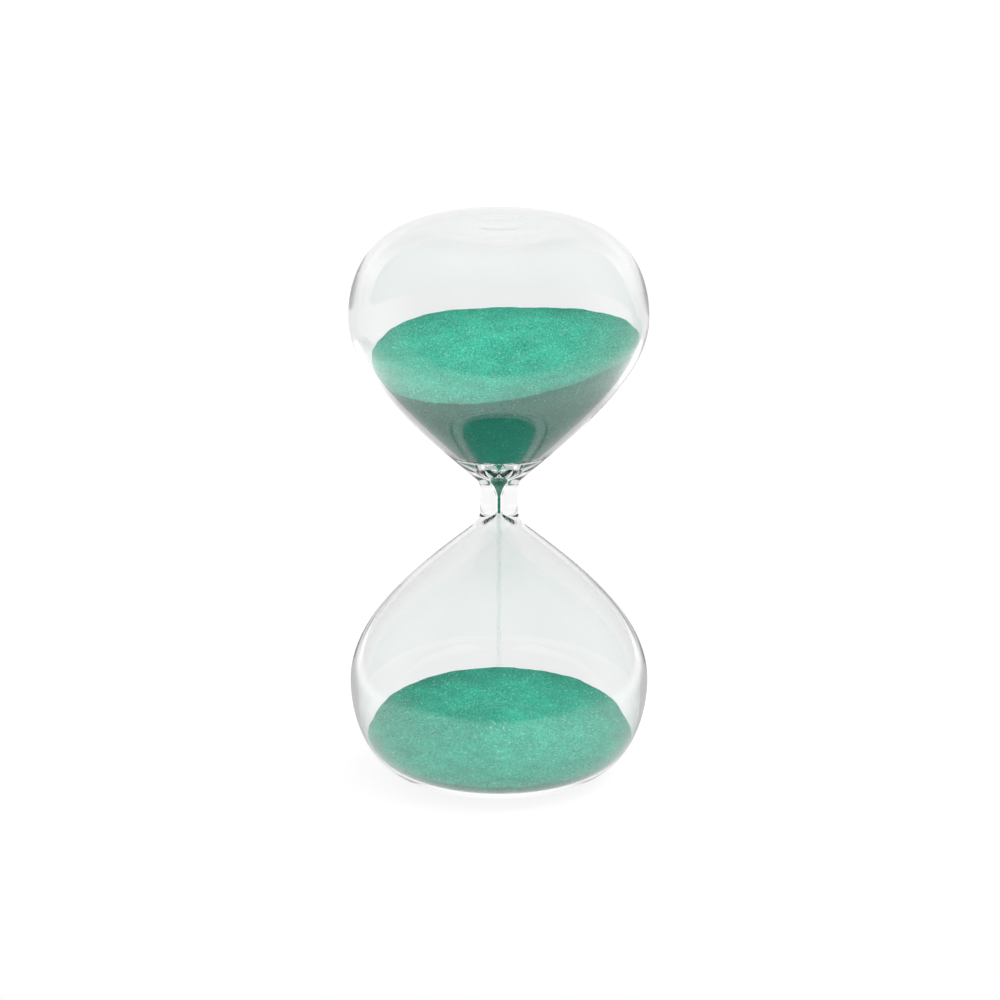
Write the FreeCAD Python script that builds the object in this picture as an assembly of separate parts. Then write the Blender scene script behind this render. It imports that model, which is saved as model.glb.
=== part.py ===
import FreeCAD, Part
import math
import os

os.makedirs("parts", exist_ok=True)

Vector = FreeCAD.Vector

# A sealed sand timer of blown glass. Z is up, the base rests on Z = 0 and the axis is the Z axis.
# All sizes are millimetres. Outlines are drawn for one half at a time, with the middle of the neck
# as their zero, and both halves are then stood on the base.

# Overall glass
total_height = 150.0
neck_diameter = 10.0

# Each bulb is round in plan. Its outline runs from the flat end over the crown to the widest point,
# and down the flank to a fillet, which leads into the straight part of the neck. Pulls are how far
# a curve holds its direction at each end. The cavity inside has its own pulls and angle.
upper_bulb_diameter = 78.5
lower_bulb_diameter = 78.8
upper_bulb = {
    "side_wall": 1.3,
    "end_wall": 1.8,
    "widest_from_end": 24.9,
    "flat_diameter": 25.9,
    "crown_end_pull": 18.3,
    "crown_side_pull": 14.0,
    "flank_side_pull": 14.6,
    "flank_neck_pull": 22.9,
    "flank_half_angle": 47.5,
    "cavity_side_pull": 11.7,
    "cavity_neck_pull": 18.5,
    "cavity_half_angle": 47.5,
    "neck_straight": 3.2,
    "neck_fillet": 4.4,
    "punt_diameter": 15.1,
    "punt_depth": 0.5,
}
lower_bulb = {
    "side_wall": 1.9,
    "end_wall": 1.2,
    "widest_from_end": 25.6,
    "flat_diameter": 39.6,
    "crown_end_pull": 15.2,
    "crown_side_pull": 9.5,
    "flank_side_pull": 15.8,
    "flank_neck_pull": 18.9,
    "flank_half_angle": 50.5,
    "cavity_side_pull": 19.1,
    "cavity_neck_pull": 14.25,
    "cavity_half_angle": 46.6,
    "neck_straight": 2.6,
    "neck_fillet": 6.0,
    "punt_diameter": 20.4,
    "punt_depth": 0.7,
}

# The passage through the neck: the upper cavity's floor closes in to a funnel, and the funnel
# leads to a straight throat that opens into the lower cavity
floor_diameter = 25.8
floor_above_middle = 14.4
funnel_mouth_diameter = 4.8
funnel_mouth_above_middle = 9.3
throat_diameter = 1.0
throat_top_above_middle = 1.5
throat_bottom_below_middle = 3.0

# Where the bulbs are fused to the neck tube, and the seal over the filling hole
joint_from_middle = 8.0
fill_hole_diameter = 9.0

# Sand
sand_clearance = 0.1
upper_sand_level = 40.2
upper_sand_rise_right = 4.9
upper_sand_rise_back = 4.2
crater_diameter = 22.0
crater_depth = 4.0
lower_sand_level = 64.1
lower_sand_rise_right = 0.3
lower_sand_rise_back = 7.5
peak_diameter = 36.0
peak_height = 6.4

half_height = total_height / 2


def bezier(*points):
    """One smooth curve in the XZ plane through the first and last point."""
    curve = Part.BezierCurve()
    curve.setPoles([Vector(x, 0, z) for x, z in points])
    return curve.toShape()


def line(start, end):
    return Part.LineSegment(Vector(start[0], 0, start[1]), Vector(end[0], 0, end[1])).toShape()


def arc(start, middle, end):
    ends = [Vector(x, 0, z) for x, z in (start, middle, end)]
    return Part.Arc(*ends).toShape()


def dome(radius, height, depth):
    """A shallow arc from (radius, height) to the axis, the depth lower there."""
    sphere = (radius**2 + depth**2) / (2 * depth)
    half_way = math.sqrt(sphere**2 - (radius / 2) ** 2) - (sphere - depth)
    return arc((radius, height), (radius / 2, height - half_way), (0, height - depth))


def crown_edges(bulb, radius, top):
    """From the axis at the flat end out to the widest point, for a surface of this radius."""
    punt = bulb["punt_diameter"] / 2
    flat = bulb["flat_diameter"] / 2
    widest = half_height - bulb["widest_from_end"]
    return [
        dome(punt, top, bulb["punt_depth"]),
        line((punt, top), (flat, top)),
        bezier(
            (flat, top),
            (flat + bulb["crown_end_pull"], top),
            (radius, widest + bulb["crown_side_pull"]),
            (radius, widest),
        ),
    ]


def flank_edge(bulb, radius, end, half_angle, side_pull, neck_pull):
    """From the widest point down to an end point near the neck, which it meets at the half angle."""
    widest = half_height - bulb["widest_from_end"]
    slope = math.radians(half_angle)
    return bezier(
        (radius, widest),
        (radius, widest - side_pull),
        (end[0] + neck_pull * math.sin(slope), end[1] + neck_pull * math.cos(slope)),
        end,
    )


def turned(edges):
    """The solid that a closed outline makes when it is turned about the Z axis."""
    face = Part.Face(Part.Wire(Part.__sortEdges__(edges)))
    return face.revolve(Vector(0, 0, 0), Vector(0, 0, 1), 360)


def outer_half(bulb, diameter):
    """The outer form of one half, from the flat end to the middle of the neck."""
    radius = diameter / 2
    neck = neck_diameter / 2
    straight = bulb["neck_straight"]
    fillet = bulb["neck_fillet"]
    half_angle = bulb["flank_half_angle"]
    slope = math.radians(half_angle)

    def fillet_point(angle):
        return (neck + fillet * (1 - math.cos(angle)), straight + fillet * math.sin(angle))

    flank_pulls = bulb["flank_side_pull"], bulb["flank_neck_pull"]
    return turned(
        crown_edges(bulb, radius, half_height)
        + [
            flank_edge(bulb, radius, fillet_point(slope), half_angle, *flank_pulls),
            arc(fillet_point(slope), fillet_point(slope / 2), fillet_point(0)),
            line((neck, straight), (neck, 0)),
            line((neck, 0), (0, 0)),
            line((0, 0), (0, half_height - bulb["punt_depth"])),
        ]
    )


def cavity_half(bulb, diameter, passage, inset):
    """The hollow of one half, less an inset all round. The passage leads on from the flank."""
    top = half_height - bulb["end_wall"] - inset
    radius = diameter / 2 - bulb["side_wall"] - inset
    inner = [(across - inset, height) for across, height in passage]
    pulls = bulb["cavity_side_pull"], bulb["cavity_neck_pull"]
    edges = crown_edges(bulb, radius, top)
    edges.append(flank_edge(bulb, radius, inner[0], bulb["cavity_half_angle"], *pulls))
    edges += [line(start, end) for start, end in zip(inner, inner[1:])]
    bottom = inner[-1]
    edges.append(line(bottom, (0, bottom[1])))
    edges.append(line((0, bottom[1]), (0, top - bulb["punt_depth"])))
    return turned(edges)


def flipped(shape):
    return shape.mirror(Vector(0, 0, 0), Vector(0, 0, 1))


def upper_cavity(inset):
    """The upper hollow with its floor, funnel and throat."""
    throat = throat_diameter / 2
    passage = [
        (floor_diameter / 2, floor_above_middle),
        (funnel_mouth_diameter / 2, funnel_mouth_above_middle),
        (throat, throat_top_above_middle),
        (throat, -throat_bottom_below_middle),
    ]
    return cavity_half(upper_bulb, upper_bulb_diameter, passage, inset)


def lower_cavity(inset):
    """The lower hollow, which opens straight out from the throat."""
    passage = [(throat_diameter / 2, throat_bottom_below_middle)]
    return flipped(cavity_half(lower_bulb, lower_bulb_diameter, passage, inset))


def below_surface(level, rise_right, rise_back):
    """Everything under a sand surface that crosses the axis at this level."""
    reach = 2 * total_height
    block = Part.makeBox(reach, reach, reach, Vector(-reach / 2, -reach / 2, -reach))
    normal = Vector(-math.tan(math.radians(rise_right)), -math.tan(math.radians(rise_back)), 1)
    block.Placement = FreeCAD.Placement(Vector(0, 0, level), FreeCAD.Rotation(Vector(0, 0, 1), normal))
    return block


def cone_about_axis(diameter, height, tip_diameter, tip_height):
    """A cone whose tip is at tip_height. It widens to the diameter over the height and goes on
    half as far again, so that it passes right through a tilted surface."""
    spread = 1.5
    widest = tip_diameter / 2 + spread * (diameter - tip_diameter) / 2
    far = tip_height + math.copysign(spread * abs(height), height)
    tip = Part.Wire(Part.makeCircle(tip_diameter / 2, Vector(0, 0, tip_height)))
    rim = Part.Wire(Part.makeCircle(widest, Vector(0, 0, far)))
    return Part.makeLoft([tip, rim], True)


def make_glass():
    """The whole glass wall, cut at its fused joints into the pieces that it was made from."""
    outer = outer_half(upper_bulb, upper_bulb_diameter).fuse(
        flipped(outer_half(lower_bulb, lower_bulb_diameter))
    )
    glass = outer.cut(upper_cavity(0).fuse(lower_cavity(0)))
    reach = 2 * total_height

    def slab(bottom, top):
        return Part.makeBox(reach, reach, top - bottom, Vector(-reach / 2, -reach / 2, bottom))

    wall = upper_bulb["end_wall"]
    plug = Part.makeCylinder(fill_hole_diameter / 2, 3 * wall, Vector(0, 0, half_height - 2 * wall))
    return {
        "upper_bulb": glass.common(slab(joint_from_middle, reach)).cut(plug),
        "lower_bulb": glass.common(slab(-reach, -joint_from_middle)),
        "neck_tube": glass.common(slab(-joint_from_middle, joint_from_middle)),
        "fill_seal": glass.common(plug),
    }


def make_upper_sand():
    """Sand that fills the lower part of the upper bulb and the funnel, with a crater above it."""
    surface = below_surface(upper_sand_level, upper_sand_rise_right, upper_sand_rise_back)
    crater = cone_about_axis(crater_diameter, crater_depth, throat_diameter, upper_sand_level - crater_depth)
    return upper_cavity(sand_clearance).common(surface).cut(crater)


def make_lower_sand():
    """Sand that has run through, with a low peak under the stream."""
    surface = below_surface(-lower_sand_level, lower_sand_rise_right, lower_sand_rise_back)
    stream = throat_diameter - 2 * sand_clearance
    peak = cone_about_axis(peak_diameter, -peak_height, stream, peak_height - lower_sand_level)
    return lower_cavity(sand_clearance).common(surface).fuse(peak.common(lower_cavity(sand_clearance)))


def make_sand_stream():
    """The falling thread of sand, from the bottom of the throat to the peak."""
    top = -throat_bottom_below_middle
    bottom = peak_height - lower_sand_level
    return Part.makeCylinder(throat_diameter / 2 - sand_clearance, top - bottom, Vector(0, 0, bottom))


pieces = make_glass()
pieces["upper_sand"] = make_upper_sand()
pieces["lower_sand"] = make_lower_sand()
pieces["sand_stream"] = make_sand_stream()

for name, shape in pieces.items():
    standing = shape.removeSplitter()
    standing.translate(Vector(0, 0, half_height))
    assert standing.isValid() and len(standing.Solids) == 1, name
    standing.Solids[0].exportStep(os.path.join("parts", name + ".step"))
    print(name, "volume", round(standing.Volume / 1000, 3), "cm3, solids", len(standing.Solids))
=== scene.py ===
import math

import bmesh
import bpy
import numpy as np
from mathutils import Matrix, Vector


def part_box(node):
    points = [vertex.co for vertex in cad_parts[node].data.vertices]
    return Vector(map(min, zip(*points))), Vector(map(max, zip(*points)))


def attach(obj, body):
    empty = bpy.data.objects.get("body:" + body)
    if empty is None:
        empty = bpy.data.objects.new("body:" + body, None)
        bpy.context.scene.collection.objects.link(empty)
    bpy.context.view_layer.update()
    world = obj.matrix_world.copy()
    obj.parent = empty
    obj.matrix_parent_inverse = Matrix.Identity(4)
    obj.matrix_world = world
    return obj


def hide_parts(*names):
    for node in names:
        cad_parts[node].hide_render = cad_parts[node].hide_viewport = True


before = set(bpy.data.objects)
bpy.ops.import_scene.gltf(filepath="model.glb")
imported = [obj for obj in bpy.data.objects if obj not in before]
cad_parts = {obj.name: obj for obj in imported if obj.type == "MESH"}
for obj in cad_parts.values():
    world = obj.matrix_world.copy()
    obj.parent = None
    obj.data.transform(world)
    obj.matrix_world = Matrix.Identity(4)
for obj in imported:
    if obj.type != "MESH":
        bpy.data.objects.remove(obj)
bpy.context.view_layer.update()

mm = 0.001

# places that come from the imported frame
upperLow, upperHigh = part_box("upper_bulb")
lowerLow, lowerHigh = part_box("lower_bulb")
neckLow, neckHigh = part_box("neck_tube")
sealLow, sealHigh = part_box("fill_seal")
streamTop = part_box("sand_stream")[1][2]
neckMiddle = (neckLow[2] + neckHigh[2]) / 2
halfHeight = upperHigh[2] - neckMiddle
print("frame read: the timer is", round(upperHigh[2] / mm, 1), "mm tall")

# Outlines count their heights from the middle of the neck, away from it.
glassShape = {
    "neckRadius": 5.0 * mm,
    "segments": 160,
    # how finely each part of an outline is divided
    "hollowSteps": 20,
    "flatSteps": 4,
    "crownSteps": 44,
    "flankSteps": 56,
    "filletSteps": 18,
    "tubeSteps": 3,
    "passageSteps": 8,
    "waveOutside": 0.09 * mm,    # how far the blown surface strays from round
    "waveInside": 0.05 * mm,
    "waveScale": 34.0,           # per metre
    "waveSwing": 4.0,
    # no wave at the first distance from the axis, and all of it at the second
    "waveFades": (4.0 * mm, 24.0 * mm),
    "seam": 0.001 * mm,          # points nearer than this become one
    "seed": 3,
    "sealRidge": 0.004 * mm,     # the ring left round the sealed filling hole
    "sealRidgeWidth": 0.8 * mm,
    "sealDrop": 0.03 * mm,       # the drop of glass that hangs inside it
    "sealDropWidth": 0.55,       # as a share of the hole
    "sealDimple": 0.4,           # how much of the drop sinks the outside too
}
upperBulb = {
    "side": 1,
    "radius": (upperHigh[0] - upperLow[0]) / 2,
    "sideWall": 1.3 * mm,
    "endWall": 1.8 * mm,
    "widestFromEnd": 24.9 * mm,
    "flatRadius": 12.95 * mm,
    "crownPulls": (18.3 * mm, 14.0 * mm),
    "flankPulls": (14.6 * mm, 22.9 * mm),
    "flankAngle": math.radians(47.5),
    "cavityPulls": (11.7 * mm, 18.5 * mm),
    "cavityAngle": math.radians(47.5),
    "neckStraight": 3.2 * mm,
    "neckFillet": 4.4 * mm,
    "puntRadius": 7.55 * mm,
    "puntDepth": 0.5 * mm,
    "passage": [(12.9 * mm, 14.4 * mm), (2.4 * mm, 9.3 * mm), (0.5 * mm, 1.5 * mm), (0.5 * mm, -3.0 * mm)],
}
lowerBulb = {
    "side": -1,
    "radius": (lowerHigh[0] - lowerLow[0]) / 2,
    "sideWall": 1.9 * mm,
    "endWall": 1.2 * mm,
    "widestFromEnd": 25.6 * mm,
    "flatRadius": 19.8 * mm,
    "crownPulls": (15.2 * mm, 9.5 * mm),
    "flankPulls": (15.8 * mm, 18.9 * mm),
    "flankAngle": math.radians(50.5),
    "cavityPulls": (19.1 * mm, 14.25 * mm),
    "cavityAngle": math.radians(46.6),
    "neckStraight": 2.6 * mm,
    "neckFillet": 6.0 * mm,
    "puntRadius": 10.2 * mm,
    "puntDepth": 0.7 * mm,
    "passage": [(0.5 * mm, 3.0 * mm)],
}


def curve(points, count):
    # a cubic curve from the first point to the last, without its first point
    p = np.array(points)
    t = np.linspace(0, 1, count + 1)[1:, None]
    return (1 - t) ** 3 * p[0] + 3 * (1 - t) ** 2 * t * p[1] + 3 * (1 - t) * t ** 2 * p[2] + t ** 3 * p[3]


def straight(start, end, count):
    t = np.linspace(0, 1, count + 1)[1:, None]
    return np.array(start) * (1 - t) + np.array(end) * t


def crownOutline(bulb, radius, top):
    # from the axis at the flat end to the widest point, without the point on the axis
    punt, depth, flat = bulb["puntRadius"], bulb["puntDepth"], bulb["flatRadius"]
    widest = halfHeight - bulb["widestFromEnd"]
    across = np.linspace(0, punt, glassShape["hollowSteps"] + 1)[1:]
    # the hollow in the end has no edge: the hot glass sank
    dome = np.stack([across, top - depth * (1 + np.cos(math.pi * across / punt)) / 2], 1)
    endPull, sidePull = bulb["crownPulls"]
    pulled = [(flat, top), (flat + endPull, top), (radius, widest + sidePull), (radius, widest)]
    ring = straight((punt, top), (flat, top), glassShape["flatSteps"])
    return np.concatenate([dome, ring, curve(pulled, glassShape["crownSteps"])])


def flankOutline(bulb, radius, end, angle, pulls):
    # from the widest point to an end near the neck, which it meets at the angle
    widest = halfHeight - bulb["widestFromEnd"]
    near = (end[0] + pulls[1] * math.sin(angle), end[1] + pulls[1] * math.cos(angle))
    return curve([(radius, widest), (radius, widest - pulls[0]), near, end], glassShape["flankSteps"])


def outerOutline(bulb):
    # from the flat end to the middle of the neck
    neck, fillet, angle = glassShape["neckRadius"], bulb["neckFillet"], bulb["flankAngle"]
    turn = np.linspace(angle, 0, glassShape["filletSteps"] + 1)
    bend = np.stack([
        neck + fillet * (1 - np.cos(turn)),
        bulb["neckStraight"] + fillet * np.sin(turn),
    ], 1)
    flank = flankOutline(bulb, bulb["radius"], tuple(bend[0]), angle, bulb["flankPulls"])
    tube = straight(tuple(bend[-1]), (neck, 0.0), glassShape["tubeSteps"])
    return np.concatenate([crownOutline(bulb, bulb["radius"], halfHeight), flank, bend[1:], tube])


def cavityOutline(bulb, inset):
    # from the flat end to the throat, for the hollow less an inset all round
    top = halfHeight - bulb["endWall"] - inset
    radius = bulb["radius"] - bulb["sideWall"] - inset
    passage = [(across - inset, height) for across, height in bulb["passage"]]
    flank = flankOutline(bulb, radius, passage[0], bulb["cavityAngle"], bulb["cavityPulls"])
    steps = glassShape["passageSteps"]
    runs = [straight(start, end, steps) for start, end in zip(passage, passage[1:])]
    return np.concatenate([crownOutline(bulb, radius, top), flank] + runs)


def sealRelief(outline, inside):
    # the sealed filling hole: a ring round it, and a drop of glass under it
    seal = (sealHigh[0] - sealLow[0]) / 2
    ridge = glassShape["sealRidge"] * np.exp(-((outline[:, 0] - seal) / glassShape["sealRidgeWidth"]) ** 2)
    drop = glassShape["sealDrop"] * np.exp(-(outline[:, 0] / (glassShape["sealDropWidth"] * seal)) ** 2)
    relief = -ridge - drop if inside else ridge - glassShape["sealDimple"] * drop
    return np.where(outline[:, 1] > (sealLow[2] - neckMiddle) - upperBulb["endWall"], relief, 0)


def glassProfile(name, inside):
    # the outline of one skin from axis to axis: down the outside, or up the hollow that runs through
    halves = []
    for bulb in (upperBulb, lowerBulb):
        outline = cavityOutline(bulb, 0.0) if inside else outerOutline(bulb)
        outline = np.concatenate([[(0.0, outline[0, 1])], outline])
        if bulb is upperBulb:
            outline[:, 1] += sealRelief(outline, inside)
        across, height = outline[:, 0], neckMiddle + bulb["side"] * outline[:, 1]
        halves.append(np.stack([across, np.zeros(len(across)), height], 1))
    points = np.concatenate([halves[0], halves[1][:-1][::-1]])
    points = points[::-1] if inside else points
    mesh = bpy.data.meshes.new(name)
    mesh.from_pydata(points.tolist(), [(i, i + 1) for i in range(len(points) - 1)], [])
    return mesh


def ringMesh(name, bottom, rings, top):
    # a closed skin: a point, rings of points, and a point, in order up the outside
    vertices = np.concatenate([[bottom], rings.reshape(-1, 3), [top]])
    count = rings.shape[1]
    here = np.arange(count)
    after = (here + 1) % count
    faces = [(0, 1 + b, 1 + a) for a, b in zip(here, after)]
    for low in range(1, len(vertices) - 1 - count, count):
        high = low + count
        faces += [(low + a, low + b, high + b, high + a) for a, b in zip(here, after)]
    last = len(vertices) - 1
    faces += [(last - count + a, last - count + b, last) for a, b in zip(here, after)]
    mesh = bpy.data.meshes.new(name)
    mesh.from_pydata(vertices.tolist(), [], [tuple(int(i) for i in face) for face in faces])
    mesh.polygons.foreach_set("use_smooth", [True] * len(mesh.polygons))
    mesh.update()
    piece = bpy.data.objects.new(name, mesh)
    bpy.context.scene.collection.objects.link(piece)
    return piece


def newMaterial(name):
    material = bpy.data.materials.new(name)
    material.use_nodes = True
    nodes, links = material.node_tree.nodes, material.node_tree.links
    return material, nodes, links, nodes["Principled BSDF"]


def addNode(nodes, kind, settings=None, inputs=None):
    node = nodes.new(kind)
    for key, value in (settings or {}).items():
        setattr(node, key, value)
    for key, value in (inputs or {}).items():
        node.inputs[key].default_value = value
    return node


def rampNode(nodes, stops):
    ramp = nodes.new("ShaderNodeValToRGB")
    while len(ramp.color_ramp.elements) < len(stops):
        ramp.color_ramp.elements.new(0.5)
    for element, (place, colour) in zip(ramp.color_ramp.elements, stops):
        element.position = place
        element.color = (*colour, 1)
    return ramp


def mathNode(tree, operation, *values):
    # one sum in a tree, on numbers or other nodes' results
    node = addNode(tree.nodes, "ShaderNodeMath", {"operation": operation})
    for socket, value in zip(node.inputs, values):
        if isinstance(value, (int, float)):
            socket.default_value = value
        else:
            tree.links.new(value, socket)
    return node.outputs[0]


def newTree(name, inputs):
    tree = bpy.data.node_groups.new(name, "GeometryNodeTree")
    tree.interface.new_socket(name="Geometry", in_out="INPUT", socket_type="NodeSocketGeometry")
    for label, kind, value in inputs:
        socket = tree.interface.new_socket(name=label, in_out="INPUT", socket_type=kind)
        if value is not None:
            socket.default_value = value
    tree.interface.new_socket(name="Geometry", in_out="OUTPUT", socket_type="NodeSocketGeometry")
    start = tree.nodes.new("NodeGroupInput")
    end = tree.nodes.new("NodeGroupOutput")
    return tree, start, end


def finishTree(tree, start, end, geometry):
    real = addNode(tree.nodes, "GeometryNodeRealizeInstances")
    finish = addNode(tree.nodes, "GeometryNodeSetMaterial")
    tree.links.new(geometry, real.inputs["Geometry"])
    tree.links.new(real.outputs["Geometry"], finish.inputs["Geometry"])
    tree.links.new(start.outputs["Material"], finish.inputs["Material"])
    tree.links.new(finish.outputs["Geometry"], end.inputs["Geometry"])


def runTree(tree, name, base, values, material):
    # runs a tree on a base mesh and returns its result as a plain mesh object
    holder = bpy.data.objects.new(name + "_maker", base)
    bpy.context.scene.collection.objects.link(holder)
    modifier = holder.modifiers.new("maker", "NODES")
    modifier.node_group = tree
    sockets = {s.name: s.identifier for s in tree.interface.items_tree if s.in_out == "INPUT"}
    for label, value in {**values, "Material": material}.items():
        modifier[sockets[label]] = value
    bpy.context.view_layer.update()
    ready = holder.evaluated_get(bpy.context.evaluated_depsgraph_get())
    mesh = bpy.data.meshes.new_from_object(ready)
    mesh.name = name
    holder.modifiers.remove(modifier)
    bpy.data.objects.remove(holder)
    piece = bpy.data.objects.new(name, mesh)
    bpy.context.scene.collection.objects.link(piece)
    return piece


def turnTree():
    # turns a profile about the upright axis, with the slow waves of a wall that was blown by hand
    tree, start, end = newTree("turnedGlass", [
        ("Segments", "NodeSocketInt", glassShape["segments"]),
        ("Wave Height", "NodeSocketFloat", 0.0),
        ("Wave Scale", "NodeSocketFloat", glassShape["waveScale"]),
        ("Seed", "NodeSocketInt", glassShape["seed"]),
        ("Material", "NodeSocketMaterial", None),
    ])
    nodes, links = tree.nodes, tree.links
    sides = start.outputs["Segments"]
    columns = mathNode(tree, "ADD", sides, 1.0)
    rows = addNode(nodes, "GeometryNodeAttributeDomainSize")
    links.new(start.outputs["Geometry"], rows.inputs["Geometry"])
    grid = addNode(nodes, "GeometryNodeMeshGrid")
    links.new(rows.outputs["Point Count"], grid.inputs["Vertices X"])
    links.new(columns, grid.inputs["Vertices Y"])
    # each row of the grid is one point of the profile, and each column is one turn of the angle
    index = addNode(nodes, "GeometryNodeInputIndex").outputs[0]
    row = mathNode(tree, "FLOOR", mathNode(tree, "DIVIDE", index, columns))
    column = mathNode(tree, "MODULO", index, columns)
    angle = mathNode(tree, "DIVIDE", mathNode(tree, "MULTIPLY", column, 2 * math.pi), sides)
    profile = addNode(nodes, "GeometryNodeSampleIndex", {"data_type": "FLOAT_VECTOR"})
    links.new(start.outputs["Geometry"], profile.inputs["Geometry"])
    links.new(addNode(nodes, "GeometryNodeInputPosition").outputs[0], profile.inputs["Value"])
    links.new(row, profile.inputs["Index"])
    parts = addNode(nodes, "ShaderNodeSeparateXYZ")
    links.new(profile.outputs["Value"], parts.inputs[0])
    cosine, sine = mathNode(tree, "COSINE", angle), mathNode(tree, "SINE", angle)

    def turned(radius):
        place = addNode(nodes, "ShaderNodeCombineXYZ")
        links.new(mathNode(tree, "MULTIPLY", radius, cosine), place.inputs["X"])
        links.new(mathNode(tree, "MULTIPLY", radius, sine), place.inputs["Y"])
        links.new(parts.outputs["Z"], place.inputs["Z"])
        return place.outputs["Vector"]

    noise = addNode(nodes, "ShaderNodeTexNoise", {"noise_dimensions": "4D"}, {"Detail": 0.0})
    links.new(turned(parts.outputs["X"]), noise.inputs["Vector"])
    links.new(start.outputs["Wave Scale"], noise.inputs["Scale"])
    links.new(start.outputs["Seed"], noise.inputs["W"])
    # the wave dies away towards the axis, so that the throat and the ends stay true
    first, last = glassShape["waveFades"]
    fade = addNode(nodes, "ShaderNodeMapRange", None, {"From Min": first, "From Max": last})
    links.new(parts.outputs["X"], fade.inputs["Value"])
    wave = mathNode(tree, "SUBTRACT", noise.outputs[0], 0.5)
    wave = mathNode(tree, "MULTIPLY", wave, glassShape["waveSwing"])
    wave = mathNode(tree, "MULTIPLY", wave, start.outputs["Wave Height"])
    wave = mathNode(tree, "MULTIPLY", wave, fade.outputs["Result"])
    moved = addNode(nodes, "GeometryNodeSetPosition")
    links.new(grid.outputs["Mesh"], moved.inputs["Geometry"])
    links.new(turned(mathNode(tree, "ADD", parts.outputs["X"], wave)), moved.inputs["Position"])
    # closes the seam, and both poles
    closed = addNode(nodes, "GeometryNodeMergeByDistance", None, {"Distance": glassShape["seam"]})
    links.new(moved.outputs["Geometry"], closed.inputs["Geometry"])
    smooth = addNode(nodes, "GeometryNodeSetShadeSmooth")
    links.new(closed.outputs["Geometry"], smooth.inputs["Geometry"])
    finishTree(tree, start, end, smooth.outputs["Geometry"])
    return tree


glassLook = {
    "clearest": (0.976, 0.978, 0.978),
    "deepest": (0.957, 0.963, 0.961),
    "ior": 1.47,
    "streakScale": 55.0,       # per metre
    "streakDepth": 0.02,
    "streakStretch": 0.35,
    "streakDetail": 2.0,
    "streakRoughness": 0.4,
    "streakHeight": 2.0 * mm,
    "tintRange": (0.35, 0.65),
}


def glassMaterial():
    material, nodes, links, shader = newMaterial("blownGlass")
    shader.inputs["Transmission Weight"].default_value = 1.0
    shader.inputs["Roughness"].default_value = 0.0
    shader.inputs["IOR"].default_value = glassLook["ior"]
    place = addNode(nodes, "ShaderNodeTexCoord")
    # the drawn-out streaks of blown glass run up and down the bulb
    stretch = addNode(nodes, "ShaderNodeMapping", None, {
        "Scale": (1.0, 1.0, glassLook["streakStretch"]),
    })
    links.new(place.outputs["Object"], stretch.inputs["Vector"])
    streaks = addNode(nodes, "ShaderNodeTexNoise", None, {
        "Scale": glassLook["streakScale"],
        "Detail": glassLook["streakDetail"],
        "Roughness": glassLook["streakRoughness"],
    })
    links.new(stretch.outputs["Vector"], streaks.inputs["Vector"])
    bump = addNode(nodes, "ShaderNodeBump", None, {
        "Strength": glassLook["streakDepth"], "Distance": glassLook["streakHeight"],
    })
    links.new(streaks.outputs["Fac"], bump.inputs["Height"])
    links.new(bump.outputs["Normal"], shader.inputs["Normal"])
    # the glass is a shade deeper where a streak is thicker
    thin, thick = glassLook["tintRange"]
    tint = rampNode(nodes, [(thin, glassLook["clearest"]), (thick, glassLook["deepest"])])
    links.new(streaks.outputs["Fac"], tint.inputs["Fac"])
    links.new(tint.outputs["Color"], shader.inputs["Base Color"])
    return material


def makeGlass():
    tree, material = turnTree(), glassMaterial()
    skins = []
    for name, inside, wave in (("glass_body", False, "waveOutside"), ("hollow", True, "waveInside")):
        profile = glassProfile(name + "_profile", inside)
        skins.append(runTree(tree, name, profile, {"Wave Height": glassShape[wave]}, material))
    glass, hollow = skins
    joined = bmesh.new()
    joined.from_mesh(glass.data)
    joined.from_mesh(hollow.data)
    joined.to_mesh(glass.data)
    joined.free()
    bpy.data.objects.remove(hollow)
    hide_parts("upper_bulb", "lower_bulb", "neck_tube", "fill_seal")
    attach(glass, "root")
    print("glass blown:", len(glass.data.polygons), "faces")


sandShape = {
    "gap": 0.12 * mm,              # air between the sand and the glass
    "sideRings": 110,
    "topRings": 120,
    "unevenness": 0.25 * mm,
    "tipRounding": 0.6 * mm,
    "hillSteepness": 1.35,
    "ringCrowding": 1.15,          # rings lie closer together near the bottom
    "rimSettling": 8,              # how quickly the surface leaves the rim's own height
    # how fast each runs along its axis, per metre, and where it starts
    "dimples": [(310.0, 1.1), (270.0, -0.4)],
    # strength, how fast it runs along both axes, and where it starts
    "ripples": [(0.6, 520.0, -390.0, 2.0), (0.5, 450.0, 760.0, 0.0), (0.35, 1250.0, -1130.0, 0.0)],
}
upperHeap = {
    "level": 40.3 * mm,
    "riseRight": 0.100,
    "riseBack": 0.076,
    "sag": (0.6, -2.1),          # per metre: how the slope bends across the bulb
    "hillRadius": 11.0 * mm,
    "hillHeight": -4.0 * mm,
}
lowerHeap = {
    "level": -64.1 * mm,
    "riseRight": 0.005,
    "riseBack": 0.132,
    "sag": (0.0, 0.0),
    "hillRadius": 18.0 * mm,
    "hillHeight": 6.4 * mm,
}


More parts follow.
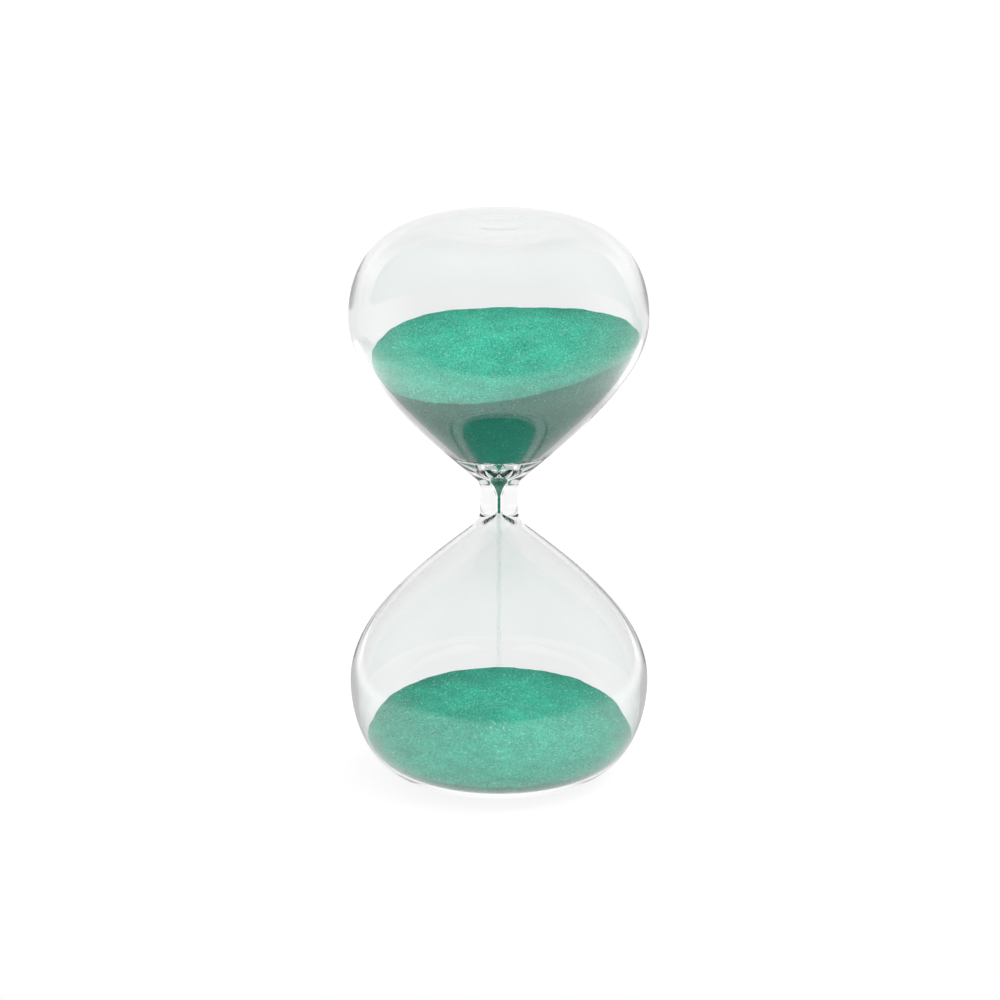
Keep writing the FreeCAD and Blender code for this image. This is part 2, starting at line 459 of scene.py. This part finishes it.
def heapHeight(heap, x, y):
    # the sand's surface over a point, from the middle of the neck: a slope, a crater or a peak, and ripples
    r = np.hypot(x, y)
    slope = heap["level"] + x * heap["riseRight"] + y * heap["riseBack"]
    slope = slope + heap["sag"][0] * (x * x - y * y) + heap["sag"][1] * x * y
    # the hill is steepest under its rounded tip and runs out at its foot
    out = np.clip(np.sqrt(r * r + sandShape["tipRounding"] ** 2) / heap["hillRadius"], 0, 1)
    hill = heap["hillHeight"] * (1 - out) ** sandShape["hillSteepness"]
    (alongX, startX), (alongY, startY) = sandShape["dimples"]
    ripple = np.sin(alongX * x + startX) * np.sin(alongY * y + startY)
    for strength, alongX, alongY, start in sandShape["ripples"]:
        ripple = ripple + strength * np.sin(alongX * x + alongY * y + start)
    return slope + hill + sandShape["unevenness"] * ripple / 2


def heapRings(heap, bulb):
    # closed rings from the bottom of the heap, up the glass, to the rim and in over the surface
    outline = cavityOutline(bulb, sandShape["gap"])
    count = glassShape["segments"]
    angle = np.linspace(0, 2 * math.pi, count, endpoint=False)
    outline = outline[::-1] if bulb is upperBulb else outline
    across, height = outline[:, 0], outline[:, 1] * bulb["side"]
    reach = np.concatenate([[0], np.cumsum(np.hypot(np.diff(across), np.diff(height)))])
    surface = heapHeight(heap, across[:, None] * np.cos(angle), across[:, None] * np.sin(angle))
    over = height[:, None] - surface
    # the rim is where the wall first passes the surface
    k = np.argmax(over > 0, axis=0)
    columns = np.arange(count)
    low, high = over[k - 1, columns], over[k, columns]
    rim = reach[k - 1] + (reach[k] - reach[k - 1]) * (-low / (high - low))
    rings = []
    for part in np.linspace(0, 1, sandShape["sideRings"]) ** sandShape["ringCrowding"]:
        at = rim * part
        r = np.interp(at, reach, across)
        z = np.interp(at, reach, height)
        rings.append(np.stack([r * np.cos(angle), r * np.sin(angle), z], 1))
    edge = rings[-1]
    for part in np.linspace(1, 0, sandShape["topRings"] + 1)[1:-1]:
        x, y = edge[:, 0] * part, edge[:, 1] * part
        z = heapHeight(heap, x, y)
        settle = (edge[:, 2] - heapHeight(heap, edge[:, 0], edge[:, 1])) * part ** sandShape["rimSettling"]
        rings.append(np.stack([x, y, z + settle], 1))
    rings = np.array(rings)
    rings[:, :, 2] += neckMiddle
    return rings


sandLook = {
    "grain": 0.34 * mm,
    "dark": (0.020, 0.440, 0.290),
    "base": (0.040, 0.580, 0.400),
    "light": (0.090, 0.680, 0.500),
    # the palest tone is a painted glint: a few grains coloured pale to stand in for sparkle
    "paintedGlint": (0.400, 0.800, 0.660),
    # where each tone lies among the grains, from none of them to all
    "tones": [(0.0, "dark"), (0.4, "base"), (0.8, "base"), (0.96, "light"), (0.99, "paintedGlint")],
    "patchScale": 160.0,           # per metre
    "patchDetail": 3.0,
    "patchRange": (0.3, 0.7),
    "patchDepth": (0.88, 1.12),
    "flakesAbove": 0.978,
    "grainRoughness": 0.75,
    "flakeRoughness": 0.28,
    "lean": 0.38,
}


def sandMaterial(name, loose):
    # glitter sand: every cell of the pattern is one grain with its own shade and its own facet
    material, nodes, links, shader = newMaterial(name)
    place = addNode(nodes, "ShaderNodeTexCoord")
    cells = addNode(nodes, "ShaderNodeTexVoronoi", None, {"Scale": 1 / sandLook["grain"]})
    links.new(place.outputs["Object"], cells.inputs["Vector"])
    parts = addNode(nodes, "ShaderNodeSeparateColor")
    if loose:
        tone = addNode(nodes, "ShaderNodeAttribute", {"attribute_name": "grainTone"})
        links.new(tone.outputs["Vector"], parts.inputs["Color"])
    else:
        links.new(cells.outputs["Color"], parts.inputs["Color"])
    # the palest grains carry a painted glint in their colour
    shade = rampNode(nodes, [(at, sandLook[colour]) for at, colour in sandLook["tones"]])
    links.new(parts.outputs[0], shade.inputs["Fac"])
    # slow patches of slightly deeper and paler sand
    patches = addNode(nodes, "ShaderNodeTexNoise", None, {
        "Scale": sandLook["patchScale"], "Detail": sandLook["patchDetail"],
    })
    links.new(place.outputs["Object"], patches.inputs["Vector"])
    (low, high), (deep, pale) = sandLook["patchRange"], sandLook["patchDepth"]
    depth = addNode(nodes, "ShaderNodeMapRange", None, {
        "From Min": low, "From Max": high, "To Min": deep, "To Max": pale,
    })
    links.new(patches.outputs["Fac"], depth.inputs["Value"])
    tinted = addNode(nodes, "ShaderNodeVectorMath", {"operation": "SCALE"})
    links.new(shade.outputs["Color"], tinted.inputs[0])
    links.new(depth.outputs["Result"], tinted.inputs["Scale"])
    links.new(tinted.outputs["Vector"], shader.inputs["Base Color"])
    # glitter flakes are the brightest few, and they are smooth and metallic
    flake = addNode(nodes, "ShaderNodeMath", {"operation": "GREATER_THAN"})
    flake.inputs[1].default_value = sandLook["flakesAbove"]
    links.new(parts.outputs[1], flake.inputs[0])
    links.new(flake.outputs["Value"], shader.inputs["Metallic"])
    polish = addNode(nodes, "ShaderNodeMapRange", None, {
        "To Min": sandLook["grainRoughness"], "To Max": sandLook["flakeRoughness"],
    })
    links.new(flake.outputs["Value"], polish.inputs["Value"])
    links.new(polish.outputs["Result"], shader.inputs["Roughness"])
    if not loose:
        # each grain leans its own way
        lean = addNode(nodes, "ShaderNodeVectorMath", {"operation": "SUBTRACT"})
        lean.inputs[1].default_value = (0.5, 0.5, 0.5)
        links.new(cells.outputs["Color"], lean.inputs[0])
        amount = addNode(nodes, "ShaderNodeVectorMath", {"operation": "SCALE"}, {
            "Scale": sandLook["lean"],
        })
        links.new(lean.outputs["Vector"], amount.inputs[0])
        surface = addNode(nodes, "ShaderNodeNewGeometry")
        facet = addNode(nodes, "ShaderNodeVectorMath", {"operation": "ADD"})
        links.new(surface.outputs["Normal"], facet.inputs[0])
        links.new(amount.outputs["Vector"], facet.inputs[1])
        unit = addNode(nodes, "ShaderNodeVectorMath", {"operation": "NORMALIZE"})
        links.new(facet.outputs["Vector"], unit.inputs[0])
        links.new(unit.outputs["Vector"], shader.inputs["Normal"])
    return material


def makeHeap(name, node, heap, bulb, material):
    rings = heapRings(heap, bulb)
    bottom = (0.0, 0.0, float(rings[0, :, 2].mean()))
    top = (0.0, 0.0, float(heapHeight(heap, 0.0, 0.0)) + neckMiddle)
    piece = ringMesh(name, bottom, rings, top)
    piece.data.materials.append(material)
    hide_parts(node)
    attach(piece, "root")
    print(name, "poured:", len(piece.data.polygons), "faces")
    return rings


grainShape = {
    "sides": 4,
    "rings": 2,
    "turn": 6.28,
    "smallest": (0.6, 0.6, 0.45),
    "largest": (1.2, 1.2, 0.9),
}
looseGrains = {
    "size": 0.34 * mm,
    "perSquareMetre": 4.2e6,
    "lift": 0.03 * mm,
    "upperSeed": 11,
    "lowerSeed": 23,
}
fallingGrains = {
    "size": 0.17 * mm,
    "count": 800,
    "spread": 0.80 * mm,
    "inward": (0.5, 1.0),
    "speedUp": 1.35,
    "seed": 5,
}


def randomNode(tree, kind, low, high, seedSocket, offset):
    # a random value for each grain, from the tree's own seed
    node = addNode(tree.nodes, "FunctionNodeRandomValue", {"data_type": kind})
    which = {"FLOAT": (2, 3), "FLOAT_VECTOR": (0, 1)}[kind]
    node.inputs[which[0]].default_value = low
    node.inputs[which[1]].default_value = high
    tree.links.new(mathNode(tree, "ADD", seedSocket, offset), node.inputs["Seed"])
    return node.outputs[{"FLOAT": 1, "FLOAT_VECTOR": 0}[kind]]


def grainsOnPoints(tree, start, end, points):
    # puts a faceted grain on each point, turned, sized and shaded by chance
    links = tree.links
    seed = start.outputs["Seed"]
    crystal = addNode(tree.nodes, "GeometryNodeMeshUVSphere", None, {
        "Segments": grainShape["sides"], "Rings": grainShape["rings"],
    })
    links.new(mathNode(tree, "MULTIPLY", start.outputs["Grain Size"], 0.5), crystal.inputs["Radius"])
    onto = addNode(tree.nodes, "GeometryNodeInstanceOnPoints")
    links.new(points, onto.inputs["Points"])
    links.new(crystal.outputs["Mesh"], onto.inputs["Instance"])
    turn = randomNode(tree, "FLOAT_VECTOR", (0, 0, 0), (grainShape["turn"],) * 3, seed, 1)
    links.new(turn, onto.inputs["Rotation"])
    size = randomNode(tree, "FLOAT_VECTOR", grainShape["smallest"], grainShape["largest"], seed, 2)
    links.new(size, onto.inputs["Scale"])
    tone = addNode(tree.nodes, "GeometryNodeStoreNamedAttribute", {
        "data_type": "FLOAT_VECTOR", "domain": "INSTANCE",
    }, {"Name": "grainTone"})
    links.new(onto.outputs["Instances"], tone.inputs["Geometry"])
    links.new(randomNode(tree, "FLOAT_VECTOR", (0, 0, 0), (1, 1, 1), seed, 3), tone.inputs["Value"])
    finishTree(tree, start, end, tone.outputs["Geometry"])


def scatterTree():
    tree, start, end = newTree("looseSand", [
        ("Grain Size", "NodeSocketFloat", looseGrains["size"]),
        ("Density", "NodeSocketFloat", looseGrains["perSquareMetre"]),
        ("Seed", "NodeSocketInt", 0),
        ("Material", "NodeSocketMaterial", None),
    ])
    spread = addNode(tree.nodes, "GeometryNodeDistributePointsOnFaces")
    tree.links.new(start.outputs["Geometry"], spread.inputs["Mesh"])
    tree.links.new(start.outputs["Density"], spread.inputs["Density"])
    tree.links.new(start.outputs["Seed"], spread.inputs["Seed"])
    grainsOnPoints(tree, start, end, spread.outputs["Points"])
    return tree


def fallTree():
    # grains strung along the fall: packed at the throat, further apart as they gain speed
    tree, start, end = newTree("fallingSand", [
        ("Grain Size", "NodeSocketFloat", fallingGrains["size"]),
        ("Count", "NodeSocketInt", fallingGrains["count"]),
        ("Drop", "NodeSocketFloat", 0.0),
        ("Spread", "NodeSocketFloat", fallingGrains["spread"]),
        ("Seed", "NodeSocketInt", 0),
        ("Material", "NodeSocketMaterial", None),
    ])
    nodes, links = tree.nodes, tree.links
    row = addNode(nodes, "GeometryNodeMeshLine")
    links.new(start.outputs["Count"], row.inputs["Count"])
    index = addNode(nodes, "GeometryNodeInputIndex").outputs[0]
    share = mathNode(tree, "DIVIDE", index, start.outputs["Count"])
    fall = mathNode(tree, "MULTIPLY", mathNode(tree, "POWER", share, fallingGrains["speedUp"]),
                    start.outputs["Drop"])
    down = mathNode(tree, "MULTIPLY", fall, -1.0)
    aside = randomNode(tree, "FLOAT_VECTOR", (-1, -1, 0), (1, 1, 0), start.outputs["Seed"], 7)
    centred = randomNode(tree, "FLOAT", *fallingGrains["inward"], start.outputs["Seed"], 8)
    nearer = addNode(nodes, "ShaderNodeVectorMath", {"operation": "SCALE"})
    links.new(aside, nearer.inputs[0])
    links.new(centred, nearer.inputs["Scale"])
    sideways = addNode(nodes, "ShaderNodeVectorMath", {"operation": "SCALE"})
    links.new(nearer.outputs["Vector"], sideways.inputs[0])
    links.new(start.outputs["Spread"], sideways.inputs["Scale"])
    drop = addNode(nodes, "ShaderNodeCombineXYZ")
    links.new(down, drop.inputs["Z"])
    there = addNode(nodes, "ShaderNodeVectorMath", {"operation": "ADD"})
    links.new(drop.outputs["Vector"], there.inputs[0])
    links.new(sideways.outputs["Vector"], there.inputs[1])
    moved = addNode(nodes, "GeometryNodeSetPosition")
    links.new(row.outputs["Mesh"], moved.inputs["Geometry"])
    links.new(there.outputs["Vector"], moved.inputs["Position"])
    grainsOnPoints(tree, start, end, moved.outputs["Geometry"])
    return tree


def surfacePatch(name, rings):
    # the sand's upper surface by itself, without its rim and lifted a little, to scatter grains on
    top = rings[sandShape["sideRings"]:].copy()
    top[:, :, 2] += looseGrains["lift"]
    count = top.shape[1]
    faces = []
    for ring in range(top.shape[0] - 1):
        low = ring * count
        faces += [(low + a, low + (a + 1) % count, low + count + (a + 1) % count, low + count + a)
                  for a in range(count)]
    mesh = bpy.data.meshes.new(name)
    mesh.from_pydata(top.reshape(-1, 3).tolist(), [], faces)
    mesh.update()
    return mesh


def makeLooseGrains(name, rings, tree, seed, material):
    base = surfacePatch(name + "_base", rings)
    grains = runTree(tree, name, base, {"Seed": seed}, material)
    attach(grains, "root")
    print(name, "scattered:", len(grains.data.polygons), "faces")


def makeStream(material, lowest):
    # the stream starts under the throat and ends on the peak
    base = bpy.data.meshes.new("stream_base")
    stream = runTree(fallTree(), "sand_fall", base, {
        "Drop": streamTop - lowest, "Seed": fallingGrains["seed"],
    }, material)
    stream.data.transform(Matrix.Translation((0, 0, streamTop)))
    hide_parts("sand_stream")
    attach(stream, "root")
    print("stream falling:", len(stream.data.polygons), "faces")


studio = {
    "tableSides": 1.0,
    "tableFront": 0.150,
    "tableBack": 1.2,
    "tableGlow": 1.0,            # as it shows through the glass
    # as it shows in the glass: a painted shadow of the timer dims the middle, and a painted pool of light
    # round it is brighter than further out
    "mirroredPaintedShadow": [(0.0, 0.55), (0.22, 0.55), (0.38, 1.4), (0.5, 1.4), (0.7, 0.85)],
    "paintedShadowCentre": (0.0, 0.10, 0.0),
    "paintedShadowReach": 0.4,
    "tableOnSand": 0.36,
    "shadowStrength": 0.16,
    "cameraElevation": math.radians(17.0),
    "cameraDistance": 1.6,
    "axisShift": 0.26 * mm,
    "frameWidth": 0.2629,        # how wide a stretch the camera sees, at the timer
    "sensorWidth": 36.0,
    "sightLimit": 20,
    "tableColour": (0.86, 0.86, 0.86, 1),
    "tableLit": 1.06,
    # brightness from straight below to straight above
    "domeLight": [(0.0, 0.2), (0.47, 0.2), (0.52, 0.62), (1.0, 1.15)],
    "keyFrom": (0.50, 0.12, 0.86),
    "keyStrength": 5.0,
    "keyEdge": 0.80,             # the key light fades to nothing here
    # brightness from the room behind the camera to the backdrop
    "roomMirrored": [(0.0, 0.22), (0.15, 0.25), (0.3, 0.35), (0.5, 0.7), (0.75, 0.92), (1.0, 0.93)],
}


def lightPathSwitch(nodes, links, path, depth, low, high):
    # one value for rays that have bounced in the way named, and another for the rest
    bounced = addNode(nodes, "ShaderNodeMath", {"operation": "GREATER_THAN"})
    bounced.inputs[1].default_value = 0.5
    links.new(path.outputs[depth], bounced.inputs[0])
    mix = addNode(nodes, "ShaderNodeMix", {"data_type": "FLOAT"})
    links.new(bounced.outputs[0], mix.inputs["Factor"])
    for socket, value in ((mix.inputs["A"], low), (mix.inputs["B"], high)):
        if isinstance(value, float):
            socket.default_value = value
        else:
            links.new(value, socket)
    return mix.outputs["Result"]


def makeTable():
    # a white table with its front edge near the timer: the glass mirrors it, and the dark room beyond it
    side, front, back = studio["tableSides"], studio["tableFront"], studio["tableBack"]
    corners = [(-side, -front, 0), (side, -front, 0), (side, back, 0), (-side, back, 0)]
    mesh = bpy.data.meshes.new("table")
    mesh.from_pydata(corners, [], [(0, 1, 2, 3)])
    table = bpy.data.objects.new("table", mesh)
    bpy.context.scene.collection.objects.link(table)
    material, nodes, links, shader = newMaterial("whiteTable")
    shader.inputs["Base Color"].default_value = studio["tableColour"]
    shader.inputs["Roughness"].default_value = 1.0
    shader.inputs["Specular IOR Level"].default_value = 0.0
    path = addNode(nodes, "ShaderNodeLightPath")
    place = addNode(nodes, "ShaderNodeTexCoord")
    # the brightness the glass mirrors is painted on the table: the timer's painted shadow at the middle, and
    # a painted pool of light round it
    reach = addNode(nodes, "ShaderNodeVectorMath", {"operation": "DISTANCE"})
    reach.inputs[1].default_value = studio["paintedShadowCentre"]
    links.new(place.outputs["Object"], reach.inputs[0])
    part = addNode(nodes, "ShaderNodeMapRange", None, {"From Max": studio["paintedShadowReach"]})
    links.new(reach.outputs["Value"], part.inputs["Value"])
    fall = rampNode(nodes, [(at, (value,) * 3) for at, value in studio["mirroredPaintedShadow"]])
    links.new(part.outputs["Result"], fall.inputs["Fac"])
    mirrored = lightPathSwitch(nodes, links, path, "Glossy Depth", studio["tableGlow"], fall.outputs["Color"])
    glow = addNode(nodes, "ShaderNodeEmission")
    links.new(lightPathSwitch(nodes, links, path, "Diffuse Depth", mirrored, studio["tableOnSand"]),
              glow.inputs["Strength"])
    lit = addNode(nodes, "ShaderNodeEmission", None, {"Strength": studio["tableLit"]})
    seen = addNode(nodes, "ShaderNodeMixShader", None, {"Fac": studio["shadowStrength"]})
    links.new(lit.outputs["Emission"], seen.inputs[1])
    links.new(shader.outputs["BSDF"], seen.inputs[2])
    mix = addNode(nodes, "ShaderNodeMixShader")
    links.new(path.outputs["Is Camera Ray"], mix.inputs["Fac"])
    links.new(glow.outputs["Emission"], mix.inputs[1])
    links.new(seen.outputs["Shader"], mix.inputs[2])
    links.new(mix.outputs["Shader"], nodes["Material Output"].inputs["Surface"])
    table.data.materials.append(material)


def makeWorld():
    # a white room as seen, a soft dome as light, and a room that is dark at the front in reflections
    world = bpy.data.worlds.new("studio")
    bpy.context.scene.world = world
    world.use_nodes = True
    nodes, links = world.node_tree.nodes, world.node_tree.links
    back = nodes["Background"]
    direction = addNode(nodes, "ShaderNodeTexCoord")
    axes = addNode(nodes, "ShaderNodeSeparateXYZ")
    links.new(direction.outputs["Generated"], axes.inputs["Vector"])
    dome = rampNode(nodes, [(at, (value,) * 3) for at, value in studio["domeLight"]])
    height = addNode(nodes, "ShaderNodeMapRange", None, {"From Min": -1.0, "From Max": 1.0})
    links.new(axes.outputs["Z"], height.inputs["Value"])
    links.new(height.outputs["Result"], dome.inputs["Fac"])
    keySide = addNode(nodes, "ShaderNodeVectorMath", {"operation": "DOT_PRODUCT"})
    keySide.inputs[1].default_value = studio["keyFrom"]
    links.new(direction.outputs["Generated"], keySide.inputs[0])
    key = addNode(nodes, "ShaderNodeMapRange", {"interpolation_type": "SMOOTHSTEP"}, {
        "From Min": studio["keyEdge"], "From Max": 1.0, "To Min": 0.0, "To Max": studio["keyStrength"],
    })
    links.new(keySide.outputs["Value"], key.inputs["Value"])
    light = addNode(nodes, "ShaderNodeMath", {"operation": "ADD"})
    links.new(dome.outputs["Color"], light.inputs[0])
    links.new(key.outputs["Result"], light.inputs[1])
    away = addNode(nodes, "ShaderNodeVectorMath", {"operation": "DOT_PRODUCT"})
    tilt = studio["cameraElevation"]
    away.inputs[1].default_value = (0, math.cos(tilt), -math.sin(tilt))
    links.new(direction.outputs["Generated"], away.inputs[0])
    around = addNode(nodes, "ShaderNodeMapRange", None, {"From Min": -1.0, "From Max": 1.0})
    links.new(away.outputs["Value"], around.inputs["Value"])
    room = rampNode(nodes, [(at, (value,) * 3) for at, value in studio["roomMirrored"]])
    links.new(around.outputs["Result"], room.inputs["Fac"])
    path = addNode(nodes, "ShaderNodeLightPath")
    inGlass = lightPathSwitch(nodes, links, path, "Glossy Depth", 1.0, room.outputs["Color"])
    onSand = lightPathSwitch(nodes, links, path, "Diffuse Depth", inGlass, light.outputs[0])
    links.new(onSand, back.inputs["Strength"])
    back.inputs["Color"].default_value = (1, 1, 1, 1)


def makeCamera():
    data = bpy.data.cameras.new("camera")
    camera = bpy.data.objects.new("camera", data)
    bpy.context.scene.collection.objects.link(camera)
    tilt, far = studio["cameraElevation"], studio["cameraDistance"]
    camera.location = (studio["axisShift"], -far * math.cos(tilt), neckMiddle + far * math.sin(tilt))
    camera.rotation_euler = (math.pi / 2 - tilt, 0, 0)
    data.sensor_width = studio["sensorWidth"]
    data.lens = studio["sensorWidth"] * far / studio["frameWidth"]
    data.clip_end = studio["sightLimit"]
    bpy.context.scene.camera = camera


makeCamera()
makeTable()
makeWorld()
settings = bpy.context.scene
settings.view_settings.view_transform = "Standard"
settings.cycles.max_bounces = 24
settings.cycles.transmission_bounces = 20
settings.cycles.glossy_bounces = 12
settings.cycles.use_denoising = True

makeGlass()
heapSand = sandMaterial("glitterSand", False)
looseSand = sandMaterial("glitterSandLoose", True)
upperRings = makeHeap("sand_upper", "upper_sand", upperHeap, upperBulb, heapSand)
lowerRings = makeHeap("sand_lower", "lower_sand", lowerHeap, lowerBulb, heapSand)
scatter = scatterTree()
makeLooseGrains("grains_upper", upperRings, scatter, looseGrains["upperSeed"], looseSand)
makeLooseGrains("grains_lower", lowerRings, scatter, looseGrains["lowerSeed"], looseSand)
makeStream(looseSand, float(lowerRings[-1, :, 2].mean()))
